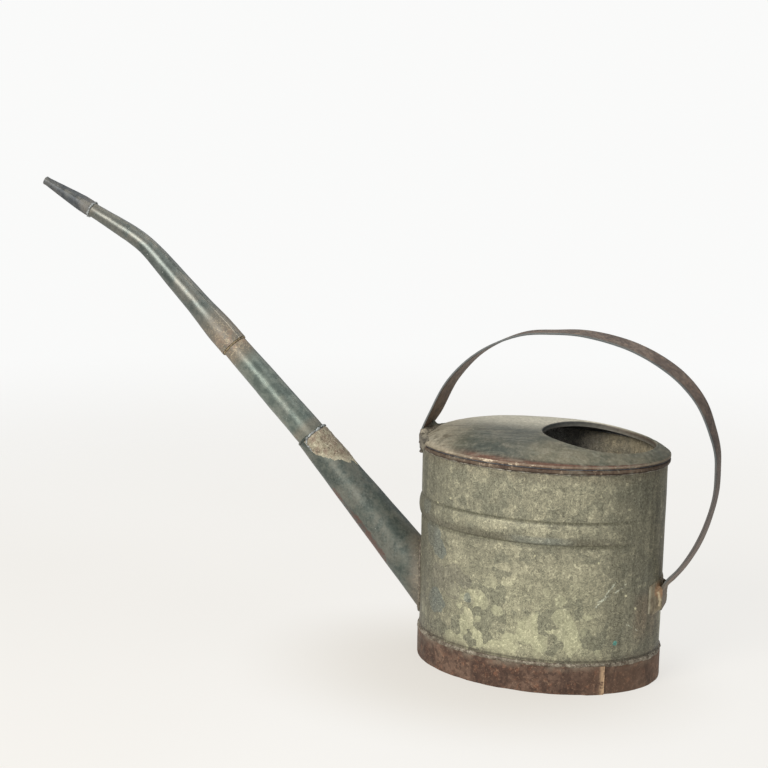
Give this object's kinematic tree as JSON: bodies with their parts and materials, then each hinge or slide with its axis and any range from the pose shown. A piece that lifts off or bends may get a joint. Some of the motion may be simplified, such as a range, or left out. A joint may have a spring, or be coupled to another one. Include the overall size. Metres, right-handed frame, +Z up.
{
  "type": "watering can",
  "caption": "Oval sheet metal watering can with a domed cover, round filling mouth, long sleeved spout and flat strap handle.",
  "frame": {"origin": "on the floor, under the middle of the whole can's bounding box", "axes": "+X from the nozzle towards the handle's rear, +Y across, +Z up"},
  "size_m": [0.752, 0.1798, 0.4778],
  "materials": {
    "wall_zinc": "weathered olive grey galvanised sheet",
    "base_zinc": "dull galvanised sheet",
    "cover_zinc": "dark weathered galvanised sheet, rusty at the edge",
    "foot_rust": "rusty steel",
    "spout_zinc": "dark green grey galvanised sheet",
    "neck_zinc": "dark grey galvanised sheet",
    "grey_solder": "pale grey solder",
    "tan_solder": "tan stained solder",
    "strap_iron": "rusty brown iron strap"
  },
  "bodies": {
    "root": {"body_wall": "wall_zinc", "base_plate": "base_zinc", "foot_ring": "foot_rust", "foot_solder": "grey_solder", "cover": "cover_zinc", "spout_cone": "spout_zinc", "spout_tube": "spout_zinc", "spout_neck": "neck_zinc", "spout_nozzle": "neck_zinc", "root_solder": "grey_solder", "lower_joint_solder": "grey_solder", "upper_joint_solder": "tan_solder", "nozzle_solder": "grey_solder", "handle_strap": "strap_iron", "front_solder": "grey_solder", "rear_patch": "tan_solder"}
  },
  "joints": []
}
